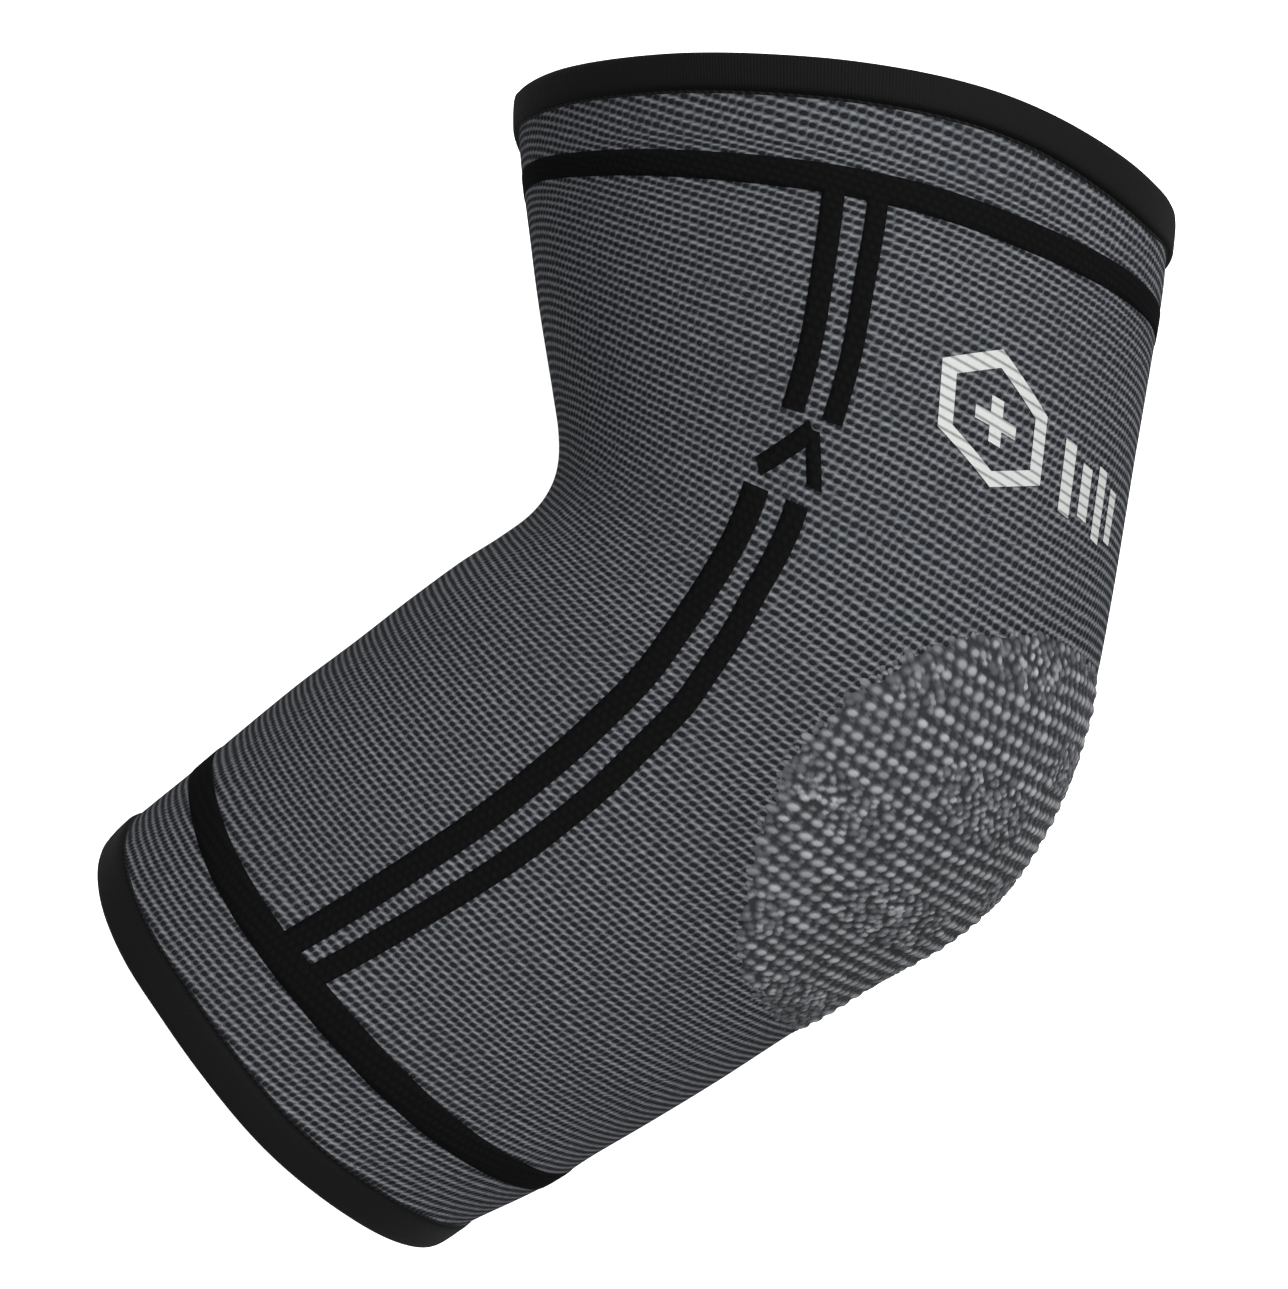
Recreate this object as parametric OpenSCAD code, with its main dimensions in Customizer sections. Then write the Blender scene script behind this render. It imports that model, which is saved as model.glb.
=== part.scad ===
// Knitted elbow sleeve with a pearl-knit pad, lying on its side, bent as it is worn.
// The bend plane is nearly level. The upper arm tube points along +Y, the forearm tube to -X -Y,
// and the origin is on the table under the middle of the part's box.

/* [View] */
// Sub-part to show

/* [Arm] */
// Angle between the upper arm and the forearm at rest, in degrees
elbow_angle = 127.2; // [95:0.1:175]
// Outside radius of the knit round the elbow
elbow_r = 48.5; // [35:0.5:60]
// Free radius of the crook
crook_r = 6; // [2:0.5:20]
// Outside radius of the knit at the upper arm opening
top_r = 54.0; // [40:0.5:70]
// Outside radius of the knit at the forearm opening
bottom_r = 42.0; // [30:0.5:60]
// Length from the elbow hinge to the middle of the upper opening
upper_len = 81.5; // [60:0.5:160]
// Length from the elbow hinge to the middle of the forearm opening
forearm_len = 106.5; // [60:0.5:180]
// Slant of the upper opening, in degrees
top_slant = 9.2; // [0:0.1:15]
// Slant of the forearm opening, in degrees
bottom_slant = 5.2; // [0:0.1:15]

/* [Knit] */
// Thickness of the knit
knit_t = 1.8; // [1:0.1:4]
// How far the pearl-knit pad stands proud
pad_t = 1.5; // [0.5:0.1:6]
// How far the knitted stripes stand proud
stripe_t = 0.3; // [0.1:0.05:1]
// Width of one lengthwise stripe
stripe_w = 3.2; // [1:0.1:8]
// Distance between the middles of the two lengthwise stripes
stripe_pitch = 6.1; // [2:0.1:14]
// Turn of the upper stripes toward the crook, in degrees
stripe_turn_up = 3; // [-20:0.5:20]
// Turn of the lower stripes toward the crook, in degrees
stripe_turn = 8; // [-20:0.5:20]
// Width of a ring stripe
ring_w = 4.2; // [1:0.1:10]

/* [Cuffs] */
// Height of each cuff
cuff_h = 5.8; // [4:0.1:20]
// Thickness of the cuff outside the knit
cuff_t = 1.1; // [0.5:0.1:3]
// Distance from the cuff's edge to the ring stripe
ring_gap = 7.7; // [2:0.1:20]
// Width of each inner silicone grip band
grip_w = 8; // [4:0.5:15]

/* [Motion] */
// How far up the crook the soft elbow section reaches on the upper arm
soft_upper = 50; // [35:0.5:60]
// How far down the crook the soft elbow section reaches on the forearm
soft_forearm = 53; // [35:0.5:70]

/* [Hidden] */
$fn = 96;
e = 0.02;
bend = 180 - elbow_angle;
rho = elbow_r + crook_r;
tl = rho * tan(bend / 2);
cyl_from = forearm_len - 18.5;
up_slope = (top_r - elbow_r) / (upper_len - tl);
fo_slope = (bottom_r - elbow_r) / (cyl_from - tl);
function up_r(s) = elbow_r + up_slope * (s - tl);
function fo_r(s) = s > cyl_from ? bottom_r : elbow_r + fo_slope * (s - tl);
grip_r_top = up_r(60) - knit_t - 0.5;
grip_r_bottom = bottom_r - knit_t - 0.6;
soft_gap = 0.4;
// how far from the forearm's centre line the pad's lower edge runs
pad_side = 10;

// the plane that the cuffs and the elbow rest on, and the turn that lays it on the table
px = [0, upper_len, -(top_r + cuff_t)];
pf = [-forearm_len * sin(elbow_angle), forearm_len * cos(elbow_angle), -(bottom_r + cuff_t)];
pe = [-pad_side * cos(elbow_angle) - tl * sin(elbow_angle), tl * cos(elbow_angle) - pad_side * sin(elbow_angle), -sqrt(pow(elbow_r + pad_t, 2) - pow(pad_side, 2))];
nrm = cross(px - pe, pf - pe);
tilt_x = atan2(nrm[1], nrm[2]);
tilt_y = -atan2(nrm[0], sqrt(nrm[1] * nrm[1] + nrm[2] * nrm[2]));
rest_h = -(nrm * pe) / norm(nrm);

// how far the middle of the whole part lies from the elbow hinge, seen from above
mid_x = -29.915;
mid_y = -2.715;
// lifts the pad's lowest point onto the table
lift = 0.11;

module place() { translate([-mid_x, -mid_y, rest_h + lift]) rotate([tilt_x, tilt_y, 0]) children(); }
module forearm_frame() { rotate([0, 0, elbow_angle]) children(); }
module along_y() { rotate([-90, 0, 0]) children(); }

// a skin between offsets o0 and o1 from the knit's outside, from s0 to s1 along the axis
module up_skin(o0, o1, s0, s1)
    along_y() rotate_extrude() polygon([[up_r(s0) + o0, s0], [up_r(s0) + o1, s0], [up_r(s1) + o1, s1], [up_r(s1) + o0, s1]]);
module fo_skin(o0, o1, s0, s1) {
    a = min(s0, cyl_from);
    along_y() rotate_extrude()
        if (s0 < cyl_from && s1 > cyl_from)
            polygon([[fo_r(s0) + o0, s0], [fo_r(s0) + o1, s0], [bottom_r + o1, cyl_from], [bottom_r + o1, s1], [bottom_r + o0, s1], [bottom_r + o0, cyl_from]]);
        else
            polygon([[fo_r(s0) + o0, s0], [fo_r(s0) + o1, s0], [fo_r(s1) + o1, s1], [fo_r(s1) + o0, s1]]);
}
// slab between s0 and s1 measured at the axis, slanted by a
module slab(s0, s1, a, mid) translate([0, mid, 0]) rotate([0, 0, a]) translate([-100, s0 - mid, -100]) cube([200, s1 - s0, 200]);
module top_slab(s0, s1) slab(s0, s1, -top_slant, upper_len);
module bottom_slab(s0, s1) slab(s0, s1, bottom_slant, forearm_len);

// the slanted planes where the soft elbow section ends
soft_outer = tl + 3;
up_cut_a = -atan((soft_upper - soft_outer) / (2 * elbow_r + 2));
up_cut_s = (soft_upper + soft_outer) / 2;
fo_cut_a = atan((soft_forearm - soft_outer) / (2 * elbow_r - 1));
fo_cut_s = (soft_forearm + soft_outer) / 2;
module beyond_up(g) slab(up_cut_s + g, up_cut_s + 150, up_cut_a, up_cut_s);
module beyond_fo(g) slab(fo_cut_s + g, fo_cut_s + 150, fo_cut_a, fo_cut_s);

// the bend between the two tubes; a sector's inner facets stay outside the round knit
module bend_ring() translate([-rho, tl, 0]) rotate([0, 0, -bend]) rotate_extrude(angle = bend) children();
module bend_part(a0, a1) translate([-rho, tl, 0]) rotate([0, 0, -a1]) rotate_extrude(angle = a1 - a0) children();
module sector(r0, r1, a, b)
    polygon(concat([for (i = [0:24]) let (t = a + (b - a) * i / 24) [rho + r1 * cos(t), r1 * sin(t)]],
                   [for (i = [24:-1:0]) let (t = a + (b - a) * i / 24) [rho + r0 / cos((b - a) / 48) * cos(t), r0 / cos((b - a) / 48) * sin(t)]]));

module upper_sleeve() color([0.25, 0.26, 0.28]) place() intersection() {
    up_skin(-knit_t, 0, tl, upper_len + 12);
    beyond_up(0);
    top_slab(-50, upper_len - 0.8);
}
module top_cuff() color([0.04, 0.04, 0.045]) place() {
    intersection() {
        up_skin(e, cuff_t, upper_len - 25, upper_len + 12);
        top_slab(upper_len - cuff_h, upper_len - 0.8 + e);
    }
    intersection() {
        up_skin(-knit_t, cuff_t, upper_len - 25, upper_len + 12);
        top_slab(upper_len - 0.8 + e, upper_len);
    }
}
module top_cuff_seam() color([0.02, 0.02, 0.02]) place() intersection() {
    up_skin(e, cuff_t - 0.5, upper_len - 25, upper_len + 12);
    top_slab(upper_len - cuff_h - 0.8, upper_len - cuff_h - e);
}
module top_grip_band() color([0.12, 0.12, 0.13]) place()
    along_y() rotate_extrude() polygon([[grip_r_top, 60], [up_r(60) - knit_t - e, 60], [up_r(60 + grip_w) - knit_t - e, 60 + grip_w], [grip_r_top, 60 + grip_w]]);
top_ring_s = upper_len - cuff_h - ring_gap;
module top_ring_stripe() color([0.03, 0.03, 0.035]) place() intersection() {
    up_skin(e, stripe_t, 30, upper_len + 12);
    top_slab(top_ring_s - ring_w, top_ring_s);
}
// two lengthwise strips turned by a round the tube, on the side z (1 lateral, -1 medial)
module strips(a, z, s0, s1) rotate([0, a, 0])
    for (k = [-1, 1]) translate([k * stripe_pitch / 2 - stripe_w / 2, s0, z > 0 ? 0 : -100]) cube([stripe_w, s1 - s0, 100]);
module upper_stripes(z) place() intersection() {
    up_skin(e, stripe_t, 30, upper_len);
    strips(-stripe_turn_up * z, z, 30, 90);
    top_slab(0, top_ring_s - ring_w - e);
    beyond_up(e);
}
module lateral_upper_stripes() color([0.03, 0.03, 0.035]) upper_stripes(1);
module medial_upper_stripes() color([0.03, 0.03, 0.035]) upper_stripes(-1);
module chevron(z) place() intersection() {
    bend_part(1, 22) sector(elbow_r + e, elbow_r + stripe_t, z * 60, z * 120);
    translate([-4.5, tl - 1.5, z > 0 ? 0 : -100]) rotate([0, 0, -18]) linear_extrude(100)
        polygon([[0, 0], [5.4, -6.6], [4.0, -8.4], [0, -3.6], [-4.0, -8.4], [-5.4, -6.6]]);
}
module lateral_chevron() color([0.03, 0.03, 0.035]) chevron(1);
module medial_chevron() color([0.03, 0.03, 0.035]) chevron(-1);
// a generic mark: a hexagon outline round a plus sign, and a row of four plain bars
module emblem() color([0.78, 0.79, 0.79]) place() intersection() {
    up_skin(e, stripe_t, 20, upper_len);
    beyond_up(e);
    union() {
        rotate([0, 30, 0]) translate([0, 48, 0]) linear_extrude(100) {
            difference() { circle(8, $fn = 6); circle(6, $fn = 6); }
            square([6, 1.7], center = true);
            square([1.7, 6], center = true);
        }
        rotate([0, 57, 0]) translate([0, 46, 0]) linear_extrude(100)
            for (i = [0:3]) translate([-8 + i * 4.2, -5 + (i % 2) * 1.5]) square([2.2, 10 - (i % 2) * 3]);
    }
}
module elbow_sleeve() color([0.25, 0.26, 0.28]) place() {
    bend_ring() translate([rho, 0]) difference() { circle(elbow_r); circle(elbow_r - knit_t); }
    difference() {
        up_skin(-knit_t, 0, tl + e, soft_upper + 4);
        beyond_up(-soft_gap);
    }
    forearm_frame() difference() {
        fo_skin(-knit_t, 0, tl + e, soft_forearm + 4);
        beyond_fo(-soft_gap);
    }
}
module elbow_pad() color([0.36, 0.37, 0.39]) place() {
    bend_part(6, bend) sector(elbow_r + e, elbow_r + pad_t, -78, 78);
    forearm_frame() intersection() {
        fo_skin(e, pad_t, tl + e, tl + 16);
        translate([-100, 0, -60]) cube([100 - pad_side, 100, 120]);
    }
}
module elbow_stripes(z) place() {
    difference() {
        intersection() {
            up_skin(e, stripe_t, tl + e, soft_upper);
            strips(-stripe_turn_up * z, z, tl + 1, soft_upper);
        }
        beyond_up(-soft_gap);
    }
    for (k = [-1, 1]) let (m = z * (90 + stripe_turn - k * asin(stripe_pitch / 2 / elbow_r)), h = asin(stripe_w / 2 / elbow_r))
        bend_part(14, bend) sector(elbow_r + e, elbow_r + stripe_t, m - h, m + h);
    forearm_frame() difference() {
        intersection() {
            fo_skin(e, stripe_t, tl + e, soft_forearm);
            strips(stripe_turn * z, z, tl, soft_forearm);
        }
        beyond_fo(-soft_gap);
    }
}
module lateral_elbow_stripes() color([0.03, 0.03, 0.035]) elbow_stripes(1);
module medial_elbow_stripes() color([0.03, 0.03, 0.035]) elbow_stripes(-1);

module forearm_sleeve() color([0.25, 0.26, 0.28]) place() forearm_frame() intersection() {
    fo_skin(-knit_t, 0, tl, forearm_len + 12);
    beyond_fo(0);
    bottom_slab(-50, forearm_len - 0.8);
}
module bottom_cuff() color([0.04, 0.04, 0.045]) place() forearm_frame() {
    intersection() {
        fo_skin(e, cuff_t, cyl_from - 5, forearm_len + 12);
        bottom_slab(forearm_len - cuff_h, forearm_len - 0.8 + e);
    }
    intersection() {
        fo_skin(-knit_t, cuff_t, cyl_from, forearm_len + 12);
        bottom_slab(forearm_len - 0.8 + e, forearm_len);
    }
}
module bottom_cuff_seam() color([0.02, 0.02, 0.02]) place() forearm_frame() intersection() {
    fo_skin(e, cuff_t - 0.5, cyl_from - 5, forearm_len + 12);
    bottom_slab(forearm_len - cuff_h - 0.8, forearm_len - cuff_h - e);
}
module bottom_grip_band() color([0.12, 0.12, 0.13]) place() forearm_frame()
    along_y() translate([0, 0, cyl_from + 1]) rotate_extrude() translate([grip_r_bottom, 0]) square([0.6 - e, grip_w]);
bottom_ring_s = forearm_len - cuff_h - ring_gap - 1;
module bottom_ring_stripe() color([0.03, 0.03, 0.035]) place() forearm_frame() intersection() {
    fo_skin(e, stripe_t, 50, forearm_len);
    bottom_slab(bottom_ring_s - ring_w, bottom_ring_s);
}
module forearm_stripes(z) place() forearm_frame() intersection() {
    fo_skin(e, stripe_t, tl, forearm_len);
    strips(stripe_turn * z, z, tl, forearm_len);
    beyond_fo(e);
    bottom_slab(0, bottom_ring_s - ring_w - e);
}
module lateral_forearm_stripes() color([0.03, 0.03, 0.035]) forearm_stripes(1);
module medial_forearm_stripes() color([0.03, 0.03, 0.035]) forearm_stripes(-1);

upper_sleeve();
top_cuff();
top_cuff_seam();
top_grip_band();
top_ring_stripe();
lateral_upper_stripes();
medial_upper_stripes();
lateral_chevron();
medial_chevron();
emblem();
elbow_sleeve();
elbow_pad();
lateral_elbow_stripes();
medial_elbow_stripes();
forearm_sleeve();
bottom_cuff();
bottom_cuff_seam();
bottom_grip_band();
bottom_ring_stripe();
lateral_forearm_stripes();
medial_forearm_stripes();
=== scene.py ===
import math

import bpy
import numpy as np
from mathutils import Matrix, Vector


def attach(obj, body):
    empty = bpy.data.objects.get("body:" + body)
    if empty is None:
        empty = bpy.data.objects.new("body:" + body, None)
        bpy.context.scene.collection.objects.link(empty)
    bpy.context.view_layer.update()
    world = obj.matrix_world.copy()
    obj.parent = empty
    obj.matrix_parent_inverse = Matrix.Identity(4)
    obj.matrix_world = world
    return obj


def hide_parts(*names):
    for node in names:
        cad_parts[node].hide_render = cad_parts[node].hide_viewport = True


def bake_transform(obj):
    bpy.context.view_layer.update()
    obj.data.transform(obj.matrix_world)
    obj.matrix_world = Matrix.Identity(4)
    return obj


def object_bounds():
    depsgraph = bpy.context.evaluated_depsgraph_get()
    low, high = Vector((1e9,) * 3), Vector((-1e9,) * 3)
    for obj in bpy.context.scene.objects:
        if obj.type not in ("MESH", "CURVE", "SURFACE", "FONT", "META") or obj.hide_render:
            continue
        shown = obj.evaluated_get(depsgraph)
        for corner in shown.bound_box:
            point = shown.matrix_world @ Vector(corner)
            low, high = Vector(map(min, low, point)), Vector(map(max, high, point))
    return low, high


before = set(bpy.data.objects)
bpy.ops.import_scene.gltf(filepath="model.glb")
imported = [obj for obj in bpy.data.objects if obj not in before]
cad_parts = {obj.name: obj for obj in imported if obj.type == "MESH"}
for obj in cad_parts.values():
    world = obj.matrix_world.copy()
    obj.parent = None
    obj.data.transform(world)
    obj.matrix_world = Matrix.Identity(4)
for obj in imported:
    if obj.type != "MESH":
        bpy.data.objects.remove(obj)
CAD_BOX = [list(map(float, c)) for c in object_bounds()]
rng = np.random.default_rng(7)

# ---------------------------------------------------------------- the sleeve's surface
# Each ring of knit as two points in the bend plane, in millimetres: crook side, outer side.
RINGS = np.array([
    (-54.5, 90.3, 54.5, 72.7), (-53.4, 84.7, 53.2, 66.8), (-52.1, 78.0, 52.1, 58.5), (-50.5, 68.8, 50.6, 47.3),
    (-48.9, 58.6, 48.9, 33.9), (-47.3, 49.2, 47.3, 20.6), (-45.9, 40.8, 45.8, 9.0), (-45.0, 34.6, 43.9, -3.4),
    (-45.0, 29.3, 41.3, -15.5), (-46.3, 24.8, 36.4, -26.6), (-49.1, 20.8, 29.5, -36.1), (-53.6, 17.2, 20.3, -44.7),
    (-60.2, 12.7, 8.8, -52.1), (-67.5, 6.8, -2.7, -60.0), (-75.5, -0.2, -13.4, -67.4), (-84.4, -7.6, -24.1, -74.4),
    (-93.1, -15.3, -32.6, -80.0), (-101.2, -22.4, -40.1, -84.9), (-110.1, -29.8, -51.5, -90.9), (-114.0, -33.9, -56.1, -94.3),
])
NR = len(RINGS) - 1
AX, AY = math.radians(2.8328987), math.radians(-3.2216980)
SHIFT = np.array([29.915, 2.715, 51.034057])
_rx = np.array([[1, 0, 0], [0, math.cos(AX), -math.sin(AX)], [0, math.sin(AX), math.cos(AX)]])
_ry = np.array([[math.cos(AY), 0, math.sin(AY)], [0, 1, 0], [-math.sin(AY), 0, math.cos(AY)]])
TILT = _ry @ _rx


def spl(x, xs, ys):
    xs, ys, x = np.asarray(xs, float), np.asarray(ys, float), np.asarray(x, float)
    m = np.gradient(ys, xs, axis=0)
    k = np.clip(np.searchsorted(xs, x, side="right") - 1, 0, len(xs) - 2)
    h = xs[k + 1] - xs[k]
    s = ((x - xs[k]) / h).reshape(x.shape + (1,) * (ys.ndim - 1))
    h = h.reshape(s.shape)
    return ((2 * s**3 - 3 * s**2 + 1) * ys[k] + (s**3 - 2 * s**2 + s) * h * m[k]
            + (-2 * s**3 + 3 * s**2) * ys[k + 1] + (s**3 - s**2) * h * m[k + 1])


def ring(t):
    q = spl(t, np.arange(NR + 1), RINGS)
    c, o = q[..., :2], q[..., 2:]
    e = o - c
    a = np.linalg.norm(e, axis=-1) / 2
    return (c + o) / 2, e / (2 * a[..., None]), a


def row(p):
    """Bend plane millimetres to row frame metres."""
    return (p @ TILT.T + SHIFT) / 1000


def smooth(x, a, b):
    s = np.clip((x - a) / (b - a), 0, 1)
    return s * s * (3 - 2 * s)


# how far the worn sleeve swells from its ring at the crook side and at the outer side, in millimetres
IN_T = [-1, 0, 0.6, 1.3, 2.5, 3.6, 4.6, 6, 8, 11, 12.5, 14, 16, 17, 18, 19, 20]
IN_MM = [-0.3, -0.3, 0.2, 0.9, 1.25, 1.1, 0.8, 0.2, -0.4, -0.7, -0.8, -0.6, -0.6, -0.9, -1.35, -1.5, -1.5]
OUT_T = [-1, 0, 0.8, 1.7, 3, 4.5, 7, 8, 9, 10, 12, 13, 15, 16.3, 17.5, 19, 20]
OUT_MM = [-1.2, -1.2, -0.5, 0.2, 0.2, -0.2, -0.7, -1.0, -0.5, 0.5, 0.45, 0.4, 0.7, 0.6, 1.05, 0.75, 0.75]


def surf(t, phi, off=0.0):
    """Point on the sleeve in the bend plane frame. phi 0 is the lateral side, +90 degrees the outer side of the elbow."""
    t, phi = np.broadcast_arrays(np.asarray(t, float), np.asarray(phi, float))
    m, e, a = ring(t)
    sn = np.sin(phi)
    a = a + off + spl(t, IN_T, IN_MM) * np.clip(-sn, 0, 1) ** 3 + spl(t, OUT_T, OUT_MM) * np.clip(sn, 0, 1) ** 3
    p = np.zeros(t.shape + (3,))
    p[..., 0] = m[..., 0] + a * np.sin(phi) * e[..., 0]
    p[..., 1] = m[..., 1] + a * np.sin(phi) * e[..., 1]
    p[..., 2] = a * np.cos(phi)
    return p


# how far a hoop of the sleeve strays from its ring, in rings: by hoop, then round the arm
SAG_DEG = [-90, -78, -73, -52, -40, -25, -13, 0, 20, 47, 57, 75, 90]
TOP_SAG = [0.06, 0.18, 0.38, 0.86, 1.0, 1.04, 1.02, 0.93, 0.78, 0.78, 0.72, 0.40, 0.30]
BOT_SAG = [-0.35, -0.25, -0.13, 0.38, 0.62, 0.74, 0.72, 0.84, 1.05, 0.92, 0.88, 0.8, 0.75]


def top_k(c):
    return spl(c, [-1, 0, 1, 2, 3, 6, 9, 20], [1.0, 0.93, 0.80, 0.69, 0.56, 0.2, 0, 0])


def bot_k(c):
    return spl(c, [0, 13, 15, 17, 18, 19, 20], [0, 0, 0.03, 0.16, 0.28, 0.34, 0.38])


def fold(phi):
    """The sleeve is the same on its medial side: maps any angle to -90..90 degrees."""
    return np.degrees(np.arcsin(np.clip(np.sin(phi), -1, 1)))


def along(c, phi):
    """Ring number of hoop c at phi."""
    c, phi = np.broadcast_arrays(np.asarray(c, float), np.asarray(phi, float))
    d = fold(phi)
    return c + top_k(c) * spl(d, SAG_DEG, TOP_SAG) + bot_k(c) * spl(d, SAG_DEG, BOT_SAG)


def at(c, phi, off=0.0):
    t, phi = np.broadcast_arrays(along(c, phi), np.asarray(phi, float))
    return surf(t, phi, off)


_ts = np.linspace(0, NR, 400)
WALES = 240.0
_m = ring(_ts)[0]
_len = np.concatenate([[0], np.cumsum(np.linalg.norm(np.diff(_m, axis=0), axis=1))])
# course number as a smooth function of ring and angle: COURSE[k] * z**i * sin(phi)**j
COURSE_IJ = [(i, j) for i in range(6) for j in range(5) if 0 < i + j <= 6]
COURSE = [0.136, 1.411, -0.132, 2.909, 62.050, 13.144, 0.948, 2.488, -1.734, 28.439, -0.213, -2.104, -2.414, -0.973, 42.993, -15.817, -5.354, -0.258, -35.388, -3.568, 4.337, -30.359, 4.213]


def _kv(t, phi):
    z, s = (np.asarray(t, float) - 9.5) / 9.5, np.sin(np.asarray(phi, float))
    return sum(k * z**i * s**j for k, (i, j) in zip(COURSE, COURSE_IJ))


def kv(t, phi):
    """The fit holds from ring 2.4 to 16; past it the courses go on at an even pitch."""
    t, phi = np.broadcast_arrays(np.asarray(t, float), np.asarray(phi, float))
    q = np.clip(t, 2.4, 16.0)
    return _kv(q, phi) + (np.interp(t, _ts, _len) - np.interp(q, _ts, _len)) / np.where(t > 9, 1.36, 1.42)


def kuv(t, phi):
    """Wale and course number; the wales lean on the forearm."""
    v = kv(t, phi)
    lean = np.interp(v, [-70, -15, 0, 15, 80], [-3.3, 0.0, -0.9, -4.2, -27.0])
    return np.stack(np.broadcast_arrays(np.asarray(phi, float) / (2 * math.pi) * WALES + lean, v), -1)


C_TOP, C_BOT = 0.12, 18.86  # knit ends inside the cuffs
CUFF_IN_TOP, CUFF_IN_BOT = 1.0, 18.0


# ---------------------------------------------------------------- mesh helpers
def mesh_object(name, verts, faces, uv=None, mats=None, mat_index=None, tone=None, smooth_shade=True):
    me = bpy.data.meshes.new(name)
    me.from_pydata([tuple(v) for v in verts], [], [tuple(f) for f in faces])
    if uv is not None:
        layer = me.uv_layers.new(name="knit")
        loops = np.zeros(len(me.loops), int)
        me.loops.foreach_get("vertex_index", loops)
        if len(uv) == len(me.loops):
            layer.data.foreach_set("uv", np.asarray(uv, np.float32).ravel())
        else:
            layer.data.foreach_set("uv", np.asarray(uv, np.float32)[loops].ravel())
    if tone is not None:
        at_ = me.attributes.new("tone", "FLOAT", "POINT")
        at_.data.foreach_set("value", np.asarray(tone, np.float32))
    for m in mats or []:
        me.materials.append(m)
    if mat_index is not None:
        me.polygons.foreach_set("material_index", np.asarray(mat_index, np.int32))
    if smooth_shade:
        me.polygons.foreach_set("use_smooth", [True] * len(me.polygons))
    me.update()
    ob = bpy.data.objects.new(name, me)
    bpy.context.scene.collection.objects.link(ob)
    return ob


class Mesh:
    """Collects grids into one mesh."""

    def __init__(self):
        self.v, self.f, self.uv, self.mi, self.tone, self.n = [], [], [], [], [], 0

    def grid(self, p, uv, mat=0, flip=False, tone=None, loop=False):
        a, b = p.shape[:2]
        idx = np.arange(a * b).reshape(a, b) + self.n
        if loop:
            idx = np.concatenate([idx, idx[:, :1]], 1)
        q = np.stack([idx[:-1, :-1], idx[:-1, 1:], idx[1:, 1:], idx[1:, :-1]], -1).reshape(-1, 4)
        if flip:
            q = q[:, ::-1]
        self.v.append(p.reshape(-1, 3))
        self.uv.append(np.broadcast_to(uv, (a, b, 2)).reshape(-1, 2))
        self.tone.append(np.full(a * b, 0.5) if tone is None else np.broadcast_to(tone, (a, b)).ravel())
        self.f += q.tolist()
        self.mi += [mat] * len(q)
        self.n += a * b
        return self

    def build(self, name, mats):
        return mesh_object(name, np.concatenate(self.v), self.f, np.concatenate(self.uv), mats, self.mi, np.concatenate(self.tone))


# ---------------------------------------------------------------- materials
class Nodes:
    def __init__(self, name, rough=0.9, spec=0.2):
        self.mat = bpy.data.materials.new(name)
        self.mat.use_nodes = True
        self.nt = self.mat.node_tree
        self.p = self.nt.nodes["Principled BSDF"]
        self.p.inputs["Roughness"].default_value = rough
        self.p.inputs["Specular IOR Level"].default_value = spec

    def _in(self, node, i, x):
        if isinstance(x, (int, float)):
            node.inputs[i].default_value = x
        else:
            self.nt.links.new(x, node.inputs[i])

    def m(self, op, a, b=None, c=None, clamp=False):
        n = self.nt.nodes.new("ShaderNodeMath")
        n.operation = op
        n.use_clamp = clamp
        for i, x in enumerate((a, b, c)):
            if x is not None:
                self._in(n, i, x)
        return n.outputs[0]

    def uv(self):
        n = self.nt.nodes.new("ShaderNodeUVMap")
        n.uv_map = "knit"
        s = self.nt.nodes.new("ShaderNodeSeparateXYZ")
        self.nt.links.new(n.outputs[0], s.inputs[0])
        return s.outputs[0], s.outputs[1]

    def tone(self):
        n = self.nt.nodes.new("ShaderNodeAttribute")
        n.attribute_name = "tone"
        return n.outputs["Fac"]

    def step(self, x, a, b):
        n = self.nt.nodes.new("ShaderNodeMapRange")
        n.interpolation_type = "SMOOTHSTEP"
        self._in(n, 0, x)
        n.inputs[1].default_value = a
        n.inputs[2].default_value = b
        return n.outputs[0]

    def vec(self, x, y, z=0.0):
        n = self.nt.nodes.new("ShaderNodeCombineXYZ")
        for i, q in enumerate((x, y, z)):
            self._in(n, i, q)
        return n.outputs[0]

    def noise(self, vec, scale, detail=2.0):
        n = self.nt.nodes.new("ShaderNodeTexNoise")
        n.inputs["Scale"].default_value = scale
        n.inputs["Detail"].default_value = detail
        self.nt.links.new(vec, n.inputs["Vector"])
        return n.outputs["Fac"]

    def obj(self):
        n = self.nt.nodes.new("ShaderNodeTexCoord")
        return n.outputs["Object"]

    def ramp(self, x, stops):
        n = self.nt.nodes.new("ShaderNodeValToRGB")
        r = n.color_ramp
        while len(r.elements) < len(stops):
            r.elements.new(0.5)
        for e, (pos, col) in zip(r.elements, stops):
            e.position = pos
            e.color = (*col, 1)
        self._in(n, 0, x)
        return n.outputs[0]

    def color(self, x):
        self.nt.links.new(x, self.p.inputs["Base Color"])
        return self

    def rough(self, x):
        self.nt.links.new(x, self.p.inputs["Roughness"])
        return self

    def bump(self, h, dist, strength=1.0):
        n = self.nt.nodes.new("ShaderNodeBump")
        n.inputs["Distance"].default_value = dist
        n.inputs["Strength"].default_value = strength
        self.nt.links.new(h, n.inputs["Height"])
        self.nt.links.new(n.outputs[0], self.p.inputs["Normal"])
        return self

    def sheen(self, w, r=0.5):
        self.p.inputs["Sheen Weight"].default_value = w
        self.p.inputs["Sheen Roughness"].default_value = r
        return self


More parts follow.
